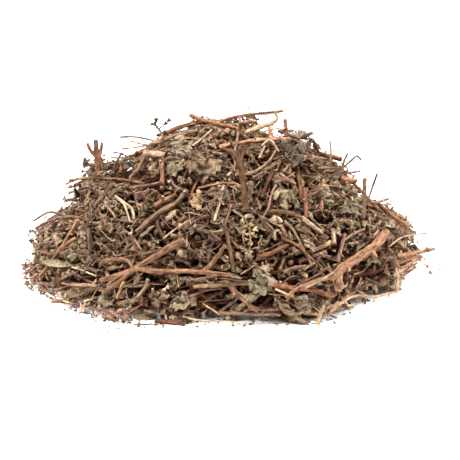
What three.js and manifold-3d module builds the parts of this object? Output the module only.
// A loose heap of dried, cut holy basil, lying on a flat surface at z = 0.
// Millimetres, +Z up. The heap is seen from -Y, with +X to the right.
import * as THREE from 'three';
import { mergeVertices } from 'three/addons/utils/BufferGeometryUtils.js';
import Module from 'manifold-3d';

const wasm = await Module();
wasm.setup();

// The heap as a whole
const HEAP_HALF_WIDTH = 90;
const HEAP_HALF_DEPTH = 76;
const HEAP_HEIGHT = 67;
const CROWN_POWER = 2.4;
const SLOPE_POWER = 0.72;
const GAP = 0.45;
const LAY_STEP = 0.5;
const LONGEST_LAY = 40;

// The picture that the stems were traced on: its middle, its scale and where the eye was
const PICTURE_MIDDLE = 230;
const MM_PER_PIXEL = 0.444;
const EYE_DISTANCE = 900;
const EYE_ELEVATION = THREE.MathUtils.degToRad(17);
const EYE_TARGET_HEIGHT = 18.6;
const SIGHT_STEP = 0.5;
const SIGHT_REACH = 130;
const STEEPEST_IN_DEPTH = 0.8;

// Stems, leaves and flower stalks
const STEM_STEP = 9;
const STEM_SIDES = 6;
const THICK_STEM = 2.6;
const THICK_STEM_SIDES = 7;
const LEAF_THICKNESS = 0.8;
const LEAF_TIP_SHARE = 0.16;
const LEAF_STEPS_ACROSS = 4;
const LEAF_STEPS_ALONG = 6;
const CALYX_RADIUS = 1.3;
const CALYX_SIDES = 5;
const CALYX_RINGS = 3;
const BEAD_SPACING = 0.7;
const LEAF_BEADS_ALONG = 12;
const LEAF_BEADS_TO_EDGE = 4;
const DRY_ROUGHNESS = 0.85;

// Stems on the far side, shared out evenly round the back of the heap
const BACK_STEM_COUNT = 8;
const BACK_STEM_LENGTHS = [46, 40, 42, 34];
const BACK_STEM_THICKNESS = [2.6, 2.0];
const BACK_STEM_SINK = 6;
const BACK_REACHES = [0.82, 0.5];
const BACK_FIRST_BEARING = THREE.MathUtils.degToRad(24);
const BACK_LAST_BEARING = THREE.MathUtils.degToRad(156);
const BACK_HEADING_SWAY = 0.4;
const BACK_SHOOT_THICKNESS_SHARE = 0.75;
const BACK_SHOOT_ALONG = 1 / 3;
const BACK_SHOOT_UPHILL = 1 / 4;
const GOLDEN_ANGLE = Math.PI * (3 - Math.sqrt(5));

// Tangles of fine stems, one for each cell of the heap
const TANGLE_LAYERS = [
  { name: 'low', floor: 0, ceiling: 22, sectors: 6, sticks: 13, floorSticks: 3 },
  { name: 'middle', floor: 22.5, ceiling: 42, sectors: 4, sticks: 13, floorSticks: 0 },
  { name: 'top', floor: 42.5, ceiling: 62, sectors: 2, sticks: 13, floorSticks: 0 },
];
const TANGLE_STICK_RADIUS = 1.4;
const TANGLE_STICK_SIDES = 4;
const TANGLE_STICK_LENGTHS = [18, 36];
const TANGLE_STEEPEST = 0.9;
const TANGLE_TRIES = 6000;
const TANGLE_INSET = 3;
const TANGLE_FOOTPRINT = 0.97;
const TANGLE_ROOT_REACHES = [0.3, 0.8];
const TANGLE_FORK_PLACES = [0.05, 0.95];
const TANGLE_FORK_CLEARANCE = 3;
const FLOOR_SLACK = 1.001;
const COVER_SLACK = 1.01;

// Repeatable chance: multiplier, increment and modulus of the number sequence, and its seeds
const CHANCE_MULTIPLIER = 1664525;
const CHANCE_INCREMENT = 1013904223;
const CHANCE_MODULUS = 4294967296;
const LAYER_SEED = 1000;
const SECTOR_SEED = 77;

const BARK_BROWN = 0x96694f;
const BARK_RED = 0x8a5544;
const BARK_GREY = 0x8f7a63;
const STRAW = 0xc39a5b;
const LEAF_GREEN = 0x7c7558;
const LEAF_BROWN = 0x7b624a;
const TANGLE_BROWN = 0x6f5743;

// Traced stems: thickness at both ends of each route, and the shoots that fork off it
const STEMS = [
  {
    name: 'long_left_stem', colour: BARK_BROWN, thickness: [1.9, 1.6],
    route: [[40, 277], [56, 255], [74, 227], [78, 220]],
    shoots: [{ thickness: [1.7, 1.5], route: [[60, 249], [75, 238]] }],
  },
  {
    name: 'left_curved_twig', colour: BARK_GREY, thickness: [1.5, 2.1],
    route: [[36, 228], [51, 220], [65, 217], [81, 218]],
    shoots: [{ thickness: [1.4, 1.1], route: [[66, 217], [50, 212], [33, 221]] }],
  },
  {
    name: 'upright_left_sprig', colour: BARK_RED, thickness: [2.6, 2.2],
    route: [[99, 174], [97, 157], [96, 141]],
    shoots: [
      { thickness: [1.3, 1.1], route: [[96, 157], [91, 151], [88, 144]] },
      { thickness: [1.3, 1.1], route: [[98, 161], [101, 151], [102, 143]] },
      { thickness: [1.3, 1.1], route: [[98, 166], [90, 165], [84, 167]] },
    ],
  },
  {
    name: 'left_reaching_twig', colour: BARK_BROWN, thickness: [1.4, 1.9],
    route: [[66, 184], [77, 179], [91, 178], [109, 179], [123, 180], [144, 184]],
  },
  {
    name: 'dark_left_stub', colour: BARK_GREY, thickness: [2.6, 2.4],
    route: [[89, 230], [91, 250]],
  },
  {
    name: 'grey_diagonal_stem', colour: BARK_GREY, thickness: [2.6, 2.2],
    route: [[137, 232], [157, 214], [176, 203], [187, 190]],
  },
  {
    name: 'grey_top_stem', colour: BARK_GREY, thickness: [2.4, 2.0],
    route: [[150, 145], [175, 136], [196, 131]],
  },
  {
    name: 'top_left_stem', colour: BARK_RED, thickness: [2.4, 2.2],
    route: [[162, 134], [180, 127], [201, 122], [216, 121]],
  },
  {
    name: 'top_crossing_stem', colour: BARK_RED, thickness: [2.2, 1.8],
    route: [[191, 117], [201, 121], [215, 125], [237, 130]],
  },
  {
    name: 'long_top_twig', colour: BARK_BROWN, thickness: [1.5, 1.7],
    route: [[214, 124], [230, 118], [255, 114], [283, 111]],
    shoots: [{ thickness: [1.3, 1.1], route: [[239, 117], [241, 124], [246, 133]] }],
  },
  {
    name: 'pale_hooked_bark', colour: STRAW, thickness: [2.6, 1.4],
    route: [[247, 133], [262, 127], [275, 122], [278, 118], [276, 113]],
  },
  {
    name: 'crown_stub', colour: BARK_RED, thickness: [2.1, 2.1],
    route: [[286, 137], [285, 120]],
  },
  {
    name: 'crown_right_twig', colour: BARK_BROWN, thickness: [2.4, 1.6],
    route: [[221, 147], [231, 145], [255, 141], [290, 139]],
    shoots: [{ thickness: [1.8, 1.4], route: [[271, 140], [269, 128]] }],
  },
  {
    name: 'upright_crown_stem', colour: BARK_BROWN, thickness: [2.4, 2.2],
    route: [[161, 157], [162, 171], [162, 189]],
  },
  {
    name: 'tall_forked_stem', colour: BARK_RED, thickness: [3.0, 2.7],
    route: [[246, 208], [243, 180], [240, 163], [237, 152]],
    shoots: [
      { thickness: [2.0, 1.6], route: [[239, 158], [229, 151], [222, 149]] },
      { thickness: [2.0, 1.6], route: [[240, 161], [245, 149]] },
    ],
  },
  {
    name: 'pale_bent_twig', colour: STRAW, thickness: [1.8, 1.4],
    route: [[236, 175], [250, 174], [260, 169], [270, 161], [276, 150]],
  },
  {
    name: 'leaning_stem', colour: BARK_RED, thickness: [2.2, 2.0],
    route: [[273, 171], [262, 196]],
  },
  {
    name: 'red_upright_stem', colour: BARK_RED, thickness: [2.2, 2.0],
    route: [[295, 163], [299, 180], [302, 202]],
  },
  {
    name: 'orange_curved_stem', colour: BARK_BROWN, thickness: [1.9, 2.2],
    route: [[268, 211], [285, 212], [300, 217], [310, 225], [321, 233]],
  },
  {
    name: 'curly_sprig', colour: BARK_GREY, thickness: [1.5, 1.1],
    route: [[330, 177], [340, 171], [345, 159], [348, 153]],
    shoots: [{ thickness: [1.2, 1.0], route: [[341, 170], [352, 160], [357, 156], [361, 160]] }],
  },
  {
    name: 'right_upright_stem', colour: BARK_BROWN, thickness: [2.2, 2.1],
    route: [[363, 219], [364, 198], [365, 179]],
  },
  {
    name: 'red_slope_stem', colour: BARK_RED, thickness: [2.2, 2.0],
    route: [[377, 203], [395, 218], [407, 226]],
  },
  {
    name: 'right_tip_stem', colour: BARK_BROWN, thickness: [2.2, 1.8],
    route: [[399, 256], [419, 252], [434, 249]],
  },
  {
    name: 'grey_red_stem', colour: BARK_RED, thickness: [2.0, 2.2],
    route: [[257, 259], [273, 252], [288, 245]],
  },
  {
    name: 'thin_tan_stem', colour: STRAW, thickness: [1.4, 1.4],
    route: [[285, 221], [294, 231], [302, 247], [312, 265]],
  },
  {
    name: 'low_red_stem', colour: BARK_RED, thickness: [2.8, 2.4],
    route: [[266, 283], [285, 287], [310, 290], [333, 296]],
  },
  {
    name: 'orange_upright_stem', colour: BARK_BROWN, thickness: [2.1, 1.9],
    route: [[226, 228], [229, 245], [234, 271]],
  },
  {
    name: 'front_low_stem', colour: BARK_BROWN, thickness: [2.4, 2.2],
    route: [[227, 282], [237, 294], [247, 303], [258, 311]],
  },
  {
    name: 'front_tan_stem', colour: STRAW, thickness: [1.9, 1.7],
    route: [[148, 279], [145, 288], [131, 304]],
  },
  {
    name: 'front_fork', colour: BARK_BROWN, thickness: [3.0, 2.3],
    route: [[184, 240], [161, 253], [146, 262], [134, 269], [117, 283], [103, 293]],
    shoots: [
      { thickness: [2.8, 1.8], route: [[137, 268], [157, 271], [184, 271], [206, 272], [231, 275]] },
      { thickness: [2.2, 1.8], route: [[204, 272], [216, 258], [225, 245]] },
      { thickness: [2.6, 2.4], route: [[131, 271], [110, 278], [101, 280]] },
      { thickness: [2.0, 1.5], route: [[134, 268], [129, 261], [117, 259], [104, 260], [100, 266]] },
    ],
  },
  {
    name: 'thick_forked_stem', colour: BARK_BROWN, thickness: [4.4, 4.2],
    route: [[386, 232], [378, 242], [369, 250], [355, 259], [341, 269], [331, 278]],
    shoots: [
      { thickness: [3.8, 3.2], route: [[337, 271], [338, 281], [338, 290]] },
      { thickness: [2.4, 1.4], route: [[333, 277], [315, 281], [298, 288], [286, 297]] },
      { thickness: [3.0, 2.6], route: [[370, 249], [375, 258]] },
    ],
  },
];

// Traced leaves: half width and how far the blade rolls up across its width, in radians
const LEAVES = [
  {
    name: 'rolled_leaf_front', colour: LEAF_GREEN, halfWidth: 4.6, roll: 1.3,
    route: [[170, 306], [181, 303], [192, 305]],
  },
  {
    name: 'folded_green_leaf', colour: LEAF_GREEN, halfWidth: 3.4, roll: 0.9,
    route: [[42, 264], [57, 265], [74, 268]],
  },
  {
    name: 'crumpled_crown_leaf', colour: LEAF_BROWN, halfWidth: 4.2, roll: 0.8,
    route: [[195, 174], [211, 168], [228, 165]],
  },
  {
    name: 'brown_left_leaf', colour: LEAF_BROWN, halfWidth: 3.6, roll: 0.5,
    route: [[66, 294], [76, 292], [86, 294]],
  },
];
const FLOOR_LEAF = {
  name: 'flat_leaf_front', colour: LEAF_GREEN, halfWidth: 4.2,
  route: [[133, 318], [157, 318]],
};

// Traced flower stalks: where the small dry cups sit along each
const FLOWER_STALKS = [
  {
    name: 'yellow_flower_stalk', colour: STRAW, thickness: [1.3, 1.1],
    route: [[234, 212], [245, 220], [250, 230], [251, 245], [250, 253]],
    cups: [[251, 226], [255, 231], [256, 238], [247, 241]],
  },
  {
    name: 'crown_flower_stalk', colour: BARK_GREY, thickness: [1.5, 1.2],
    route: [[164, 138], [161, 131], [157, 126]],
    cups: [[153, 124], [157, 121], [166, 124], [169, 121]],
  },
];

const eye = new THREE.Vector3(0, -Math.cos(EYE_ELEVATION), Math.sin(EYE_ELEVATION));
const towardEye = eye.clone();
eye.multiplyScalar(EYE_DISTANCE);
eye.z += EYE_TARGET_HEIGHT;

// The heap's own form: a low dome whose crown is broad and whose foot is steep
function footprintShare(x, y) {
  return Math.hypot(x / HEAP_HALF_WIDTH, y / HEAP_HALF_DEPTH);
}

function heapHeight(x, y) {
  const share = Math.min(footprintShare(x, y), 1);
  return HEAP_HEIGHT * Math.pow(1 - Math.pow(share, CROWN_POWER), SLOPE_POWER);
}

// The point that a pixel shows at a given distance in front of the eye
function pointAtDepth([column, row], depth) {
  const scale = (MM_PER_PIXEL * depth) / EYE_DISTANCE;
  const across = (column - PICTURE_MIDDLE) * scale;
  const above = (PICTURE_MIDDLE - row) * scale;
  const away = depth * Math.cos(EYE_ELEVATION) + above * Math.sin(EYE_ELEVATION);
  const raised = above * Math.cos(EYE_ELEVATION) - depth * Math.sin(EYE_ELEVATION);
  return new THREE.Vector3(across, away, raised).add(eye);
}

// How far away the heap lies behind a pixel: where the sight line meets the dome or the floor,
// or where it passes closest above the dome
function heapDepth(pixel) {
  let nearest = EYE_DISTANCE;
  let smallestRise = Infinity;
  for (let depth = EYE_DISTANCE - SIGHT_REACH; depth < EYE_DISTANCE + SIGHT_REACH; depth += SIGHT_STEP) {
    const point = pointAtDepth(pixel, depth);
    const inside = footprintShare(point.x, point.y) < 1;
    const rise = point.z - (inside ? heapHeight(point.x, point.y) : 0);
    if (rise <= 0) {
      return smallestRise < Infinity && !inside ? nearest : depth;
    }
    if (inside && rise < smallestRise) {
      smallestRise = rise;
      nearest = depth;
    }
  }
  return nearest;
}

// A traced route laid in space: its depth runs evenly from one end to the other,
// because dry stems are straight where the picture shows them straight
function traceRoute(pixels, radius, startDepth = heapDepth(pixels[0])) {
  const first = pixels[0];
  const last = pixels[pixels.length - 1];
  const pictureLength = Math.hypot(last[0] - first[0], last[1] - first[1]) * MM_PER_PIXEL;
  const deepest = STEEPEST_IN_DEPTH * pictureLength;
  const change = THREE.MathUtils.clamp(heapDepth(last) - startDepth, -deepest, deepest);
  return pixels.map((pixel, index) => {
    const share = index / (pixels.length - 1);
    const point = pointAtDepth(pixel, startDepth + share * change);
    point.z = Math.max(point.z, radius);
    return point;
  });
}

function depthOf(point) {
  return EYE_DISTANCE - point.clone().sub(new THREE.Vector3(0, 0, EYE_TARGET_HEIGHT)).dot(towardEye);
}

// A tapering round stem along a smooth curve, made by bending a cylinder
function stemGeometry(points, thickness) {
  const curve = new THREE.CatmullRomCurve3(points);
  const steps = Math.max(1, Math.round(curve.getLength() / STEM_STEP));
  const stepCount = points.length > 2 ? Math.max(2, steps) : steps;
  const sides = Math.max(...thickness) > THICK_STEM ? THICK_STEM_SIDES : STEM_SIDES;
  const geometry = new THREE.CylinderGeometry(1, 1, 1, sides, stepCount);
  const frames = curve.computeFrenetFrames(stepCount);
  const positions = geometry.attributes.position;
  for (let index = 0; index < positions.count; index += 1) {
    const ring = Math.round((positions.getY(index) + 0.5) * stepCount);
    const share = ring / stepCount;
    const radius = THREE.MathUtils.lerp(thickness[0], thickness[1], share) / 2;
    const point = curve.getPointAt(share);
    point.addScaledVector(frames.normals[ring], positions.getX(index) * radius);
    point.addScaledVector(frames.binormals[ring], -positions.getZ(index) * radius);
    positions.setXYZ(index, point.x, point.y, point.z);
  }
  return geometry;
}

// Beads along a stem, used to keep pieces clear of each other
function stemBeads(points, thickness) {
  const curve = new THREE.CatmullRomCurve3(points);
  const spacing = BEAD_SPACING * Math.min(...thickness) / 2;
  const count = Math.ceil(curve.getLength() / spacing);
  return Array.from({ length: count + 1 }, (unused, index) => ({
    at: curve.getPointAt(index / count),
    radius: THREE.MathUtils.lerp(thickness[0], thickness[1], index / count) / 2,
  }));
}

function solidOf(geometry) {
  const bare = geometry.clone();
  bare.deleteAttribute('normal');
  bare.deleteAttribute('uv');
  const merged = mergeVertices(bare);
  const vertProperties = new Float32Array(merged.attributes.position.array);
  const triVerts = new Uint32Array(merged.index.array);
  return new wasm.Manifold(new wasm.Mesh({ numProp: 3, vertProperties, triVerts }));
}

// One closed body from shapes that grow into each other
function joined(geometries) {
  if (geometries.length === 1) {
    return geometries[0];
  }
  const solids = geometries.map(solidOf);
  const mesh = solids.reduce((whole, part) => whole.add(part)).getMesh();
  const geometry = new THREE.BufferGeometry();
  geometry.setAttribute('position', new THREE.BufferAttribute(mesh.vertProperties, 3));
  geometry.setIndex(new THREE.BufferAttribute(mesh.triVerts, 1));
  geometry.computeVertexNormals();
  return geometry;
}

const heap = new THREE.Group();
const laid = [];

function beadBox(beads) {
  const box = new THREE.Box3();
  for (const bead of beads) {
    box.expandByPoint(bead.at);
  }
  return box.expandByScalar(Math.max(...beads.map((bead) => bead.radius)) + GAP);
}

function isClear(beads) {
  const box = beadBox(beads);
  for (const other of laid) {
    if (!other.box.intersectsBox(box)) {
      continue;
    }
    for (const bead of beads) {
      for (const fixed of other.beads) {
        if (bead.at.distanceTo(fixed.at) < bead.radius + fixed.radius + GAP) {
          return false;
        }
      }
    }
  }
  return true;
}

function addPiece(name, colour, geometries, beads) {
  laid.push({ box: beadBox(beads), beads });
  const material = new THREE.MeshStandardMaterial({ color: colour, roughness: DRY_ROUGHNESS, metalness: 0 });
  const mesh = new THREE.Mesh(joined(geometries), material);
  mesh.name = name;
  heap.add(mesh);
}

// Each piece is laid on those before it: it moves outward until it touches none of them
function layPiece(name, colour, geometries, beads, outward) {
  const step = outward.clone().multiplyScalar(LAY_STEP);
  const moved = new THREE.Vector3();
  while (!isClear(beads) && moved.length() < LONGEST_LAY) {
    beads.forEach((bead) => bead.at.add(step));
    moved.add(step);
  }
  geometries.forEach((geometry) => geometry.translate(moved.x, moved.y, moved.z));
  addPiece(name, colour, geometries, beads);
}

function layTracedStem({ name, colour, thickness, route, shoots = [] }) {
  const trunk = traceRoute(route, thickness[0] / 2);
  const geometries = [stemGeometry(trunk, thickness)];
  const beads = stemBeads(trunk, thickness);
  for (const shoot of shoots) {
    const foot = pointAtDepth(shoot.route[0], EYE_DISTANCE);
    const sideways = (bead) => pictureDistance(bead.at, foot);
    const joint = beads.reduce((best, bead) => (sideways(bead) < sideways(best) ? bead : best));
    const points = traceRoute(shoot.route, shoot.thickness[0] / 2, depthOf(joint.at));
    points[0].copy(joint.at);
    geometries.push(stemGeometry(points, shoot.thickness));
    beads.push(...stemBeads(points, shoot.thickness));
  }
  layPiece(name, colour, geometries, beads, towardEye);
}

// Distance between two points as the picture shows it
function pictureDistance(a, b) {
  const flat = (point) => point.clone().sub(eye).divideScalar(depthOf(point));
  return flat(a).distanceTo(flat(b));
}

// A leaf blade: a thin box whose width follows the leaf's outline and which rolls up across the midrib
function leafGeometry(points, halfWidth, roll, up) {
  const curve = new THREE.CatmullRomCurve3(points);
  const geometry = new THREE.BoxGeometry(2, 1, 1, LEAF_STEPS_ACROSS, LEAF_STEPS_ALONG, 1);
  const positions = geometry.attributes.position;
  for (let index = 0; index < positions.count; index += 1) {
    const place = leafPoint(
      curve, halfWidth, roll, up,
      positions.getX(index), positions.getY(index) + 0.5, positions.getZ(index) * LEAF_THICKNESS,
    );
    positions.setXYZ(index, place.x, place.y, place.z);
  }
  return geometry;
}

function leafPoint(curve, halfWidth, roll, up, side, share, height) {
  const width = halfWidth * (LEAF_TIP_SHARE + (1 - LEAF_TIP_SHARE) * Math.sin(Math.PI * share));
  const tangent = curve.getTangentAt(share);
  const sideways = tangent.clone().cross(up).normalize();
  const upward = sideways.clone().cross(tangent);
  const angle = side * roll;
  const point = curve.getPointAt(share);
  const bend = roll > 0 ? width / roll : 0;
  point.addScaledVector(sideways, roll > 0 ? (bend - height) * Math.sin(angle) : width * side);
  point.addScaledVector(upward, roll > 0 ? bend - (bend - height) * Math.cos(angle) : height);
  return point;
}

function leafBeads(points, halfWidth, roll, up) {
  const curve = new THREE.CatmullRomCurve3(points);
  const beads = [];
  for (let row = 0; row <= LEAF_BEADS_ALONG; row += 1) {
    for (let column = -LEAF_BEADS_TO_EDGE; column <= LEAF_BEADS_TO_EDGE; column += 1) {
      const side = column / LEAF_BEADS_TO_EDGE;
      const at = leafPoint(curve, halfWidth, roll, up, side, row / LEAF_BEADS_ALONG, 0);
      beads.push({ at, radius: LEAF_THICKNESS });
    }
  }
  return beads;
}

function layTracedLeaf({ name, colour, halfWidth, roll, route }) {
  const points = traceRoute(route, halfWidth);
  const up = towardEye.clone().add(new THREE.Vector3(0, 0, 1)).normalize();
  const geometry = leafGeometry(points, halfWidth, roll, up);
  layPiece(name, colour, [geometry], leafBeads(points, halfWidth, roll, up), towardEye);
}

// The leaf that lies flat on the floor in front of the heap
function layFloorLeaf({ name, colour, halfWidth, route }) {
  const up = new THREE.Vector3(0, 0, 1);
  const points = route.map((pixel) => {
    const reach = pointAtDepth(pixel, EYE_DISTANCE).sub(eye);
    const point = eye.clone().addScaledVector(reach, -eye.z / reach.z);
    point.z = LEAF_THICKNESS / 2;
    return point;
  });
  points.splice(1, 0, points[0].clone().lerp(points[1], 0.5));
  const geometry = leafGeometry(points, halfWidth, 0, up);
  addPiece(name, colour, [geometry], leafBeads(points, halfWidth, 0, up));
}

// A flower stalk: a thin stem with small cups, each on its own short foot
function layFlowerStalk({ name, colour, thickness, route, cups }) {
  const stem = traceRoute(route, thickness[0] / 2);
  const geometries = [stemGeometry(stem, thickness)];
  const beads = stemBeads(stem, thickness);
  const stemOnly = beads.slice();
  for (const cup of cups) {
    const seen = pointAtDepth(cup, EYE_DISTANCE);
    const foot = stemOnly.reduce((best, bead) => (
      pictureDistance(bead.at, seen) < pictureDistance(best.at, seen) ? bead : best
    ));
    const centre = pointAtDepth(cup, depthOf(foot.at));
    const ball = new THREE.SphereGeometry(CALYX_RADIUS, CALYX_SIDES, CALYX_RINGS);
    ball.translate(centre.x, centre.y, centre.z);
    const footThickness = [thickness[1], thickness[1]];
    geometries.push(stemGeometry([foot.at.clone(), centre], footThickness), ball);
    beads.push(...stemBeads([foot.at.clone(), centre], footThickness));
    beads.push({ at: centre.clone(), radius: CALYX_RADIUS });
  }
  layPiece(name, colour, geometries, beads, towardEye);
}

// Stems on the back of the heap, high and low in turn, each with one shoot
function layBackStem(order) {
  const share = order / (BACK_STEM_COUNT - 1);
  const bearing = THREE.MathUtils.lerp(BACK_FIRST_BEARING, BACK_LAST_BEARING, share);
  const reach = BACK_REACHES[order % BACK_REACHES.length];
  const heading = bearing + Math.PI / 2 + BACK_HEADING_SWAY * Math.sin(order * GOLDEN_ANGLE);
  const length = BACK_STEM_LENGTHS[order % BACK_STEM_LENGTHS.length];
  const middle = new THREE.Vector2(
    HEAP_HALF_WIDTH * reach * Math.cos(bearing),
    HEAP_HALF_DEPTH * reach * Math.sin(bearing),
  );
  const onSurface = (along, out) => {
    const x = middle.x + along * Math.cos(heading) + out * Math.cos(bearing);
    const y = middle.y + along * Math.sin(heading) + out * Math.sin(bearing);
    const height = heapHeight(x, y) - BACK_STEM_SINK;
    return new THREE.Vector3(x, y, Math.max(height, BACK_STEM_THICKNESS[0] / 2));
  };
  const ends = [onSurface(-length / 2, 0), onSurface(length / 2, 0)];
  const trunk = [ends[0], ends[0].clone().lerp(ends[1], 0.5), ends[1]];
  const shootTip = onSurface(length * BACK_SHOOT_ALONG, -length * BACK_SHOOT_UPHILL);
  const shoot = [trunk[1].clone(), trunk[1].clone().lerp(shootTip, 0.5), shootTip];
  const shootThickness = BACK_STEM_THICKNESS.map((thickness) => thickness * BACK_SHOOT_THICKNESS_SHARE);
  const outward = new THREE.Vector3(Math.cos(bearing), Math.sin(bearing), 1).normalize();
  layPiece(
    `back_stem_${order + 1}`, order % 2 === 0 ? BARK_BROWN : BARK_RED,
    [stemGeometry(trunk, BACK_STEM_THICKNESS), stemGeometry(shoot, shootThickness)],
    [...stemBeads(trunk, BACK_STEM_THICKNESS), ...stemBeads(shoot, shootThickness)],
    outward,
  );
}

// Repeatable chance, from 0 up to 1
function makeChance(seed) {
  let state = seed;
  return () => {
    state = (state * CHANCE_MULTIPLIER + CHANCE_INCREMENT) % CHANCE_MODULUS;
    return state / CHANCE_MODULUS;
  };
}

// A tangle fills one cell of the heap: straight fine stems, each leaving one laid before it
function isInCell(point, layer, sector) {
  const radius = TANGLE_STICK_RADIUS;
  const width = (2 * Math.PI) / layer.sectors;
  const bearing = Math.atan2(point.y, point.x) - (sector + 0.5) * width;
  const turned = Math.atan2(Math.sin(bearing), Math.cos(bearing));
  const reach = Math.hypot(point.x, point.y);
  const toSide = reach * Math.sin(Math.max(width / 2 - Math.abs(turned), 0));
  const isBetweenSides = Math.abs(turned) < width / 2 && toSide > radius + GAP;
  const isInLayer = point.z >= layer.floor + radius && point.z <= layer.ceiling - radius;
  const cover = heapHeight(point.x, point.y) - TANGLE_INSET;
  const isInFootprint = footprintShare(point.x, point.y) < TANGLE_FOOTPRINT;
  const isUnderDome = isInFootprint && point.z < Math.max(cover, radius * COVER_SLACK);
  return isBetweenSides && isInLayer && isUnderDome;
}

// Whether a new stem of a tangle touches the others only where it leaves its host
function forksOnce(beads, fork, others) {
  const clearance = TANGLE_FORK_CLEARANCE * TANGLE_STICK_RADIUS;
  const free = beads.filter((bead) => bead.at.distanceTo(fork) > clearance);
  return free.every((bead) => others.every((other) => (
    bead.at.distanceTo(other.at) > 2 * TANGLE_STICK_RADIUS + GAP
  )));
}

function layTangle(layer, layerIndex, sector) {
  const chance = makeChance(LAYER_SEED * (layerIndex + 1) + SECTOR_SEED * sector);
  const thickness = [2 * TANGLE_STICK_RADIUS, 2 * TANGLE_STICK_RADIUS];
  const middleBearing = ((sector + 0.5) * 2 * Math.PI) / layer.sectors;
  const lowest = layer.floor + FLOOR_SLACK * TANGLE_STICK_RADIUS;
  const sticks = [];
  const ownBeads = [];
  for (let attempt = 0; attempt < TANGLE_TRIES && sticks.length < layer.sticks; attempt += 1) {
    const reach = THREE.MathUtils.lerp(...TANGLE_ROOT_REACHES, chance());
    const fork = new THREE.Vector3(
      HEAP_HALF_WIDTH * reach * Math.cos(middleBearing),
      HEAP_HALF_DEPTH * reach * Math.sin(middleBearing),
      lowest,
    );
    if (sticks.length > 0) {
      const host = sticks[Math.floor(chance() * sticks.length)];
      fork.lerpVectors(host[0], host[1], THREE.MathUtils.lerp(...TANGLE_FORK_PLACES, chance()));
    }
    const heading = chance() * 2 * Math.PI;
    const climb = sticks.length < layer.floorSticks ? 0 : chance() * TANGLE_STEEPEST;
    const direction = new THREE.Vector3(Math.cos(heading), Math.sin(heading), climb).normalize();
    const length = THREE.MathUtils.lerp(...TANGLE_STICK_LENGTHS, chance());
    const end = fork.clone().addScaledVector(direction, length);
    const beads = stemBeads([fork, end], thickness);
    const fits = beads.every((bead) => isInCell(bead.at, layer, sector));
    if (fits && isClear(beads) && forksOnce(beads, fork, ownBeads)) {
      sticks.push([fork, end]);
      ownBeads.push(...beads);
    }
  }
  const geometries = sticks.map(([start, end]) => stickGeometry(start, end));
  addPiece(`${layer.name}_tangle_${sector + 1}`, TANGLE_BROWN, geometries, ownBeads);
}

function stickGeometry(start, end) {
  const length = start.distanceTo(end);
  const radius = TANGLE_STICK_RADIUS;
  const geometry = new THREE.CylinderGeometry(radius, radius, length, TANGLE_STICK_SIDES, 1);
  const direction = end.clone().sub(start).normalize();
  const turn = new THREE.Quaternion().setFromUnitVectors(new THREE.Vector3(0, 1, 0), direction);
  geometry.applyQuaternion(turn);
  const middle = start.clone().lerp(end, 0.5);
  geometry.translate(middle.x, middle.y, middle.z);
  return geometry;
}

layFloorLeaf(FLOOR_LEAF);
STEMS.forEach(layTracedStem);
LEAVES.forEach(layTracedLeaf);
FLOWER_STALKS.forEach(layFlowerStalk);
for (let order = 0; order < BACK_STEM_COUNT; order += 1) {
  layBackStem(order);
}
TANGLE_LAYERS.forEach((layer, layerIndex) => {
  for (let sector = 0; sector < layer.sectors; sector += 1) {
    layTangle(layer, layerIndex, sector);
  }
});

// The origin is under the middle of the heap
const middle = new THREE.Box3().setFromObject(heap).getCenter(new THREE.Vector3());
heap.position.set(-middle.x, -middle.y, 0);

export default heap;
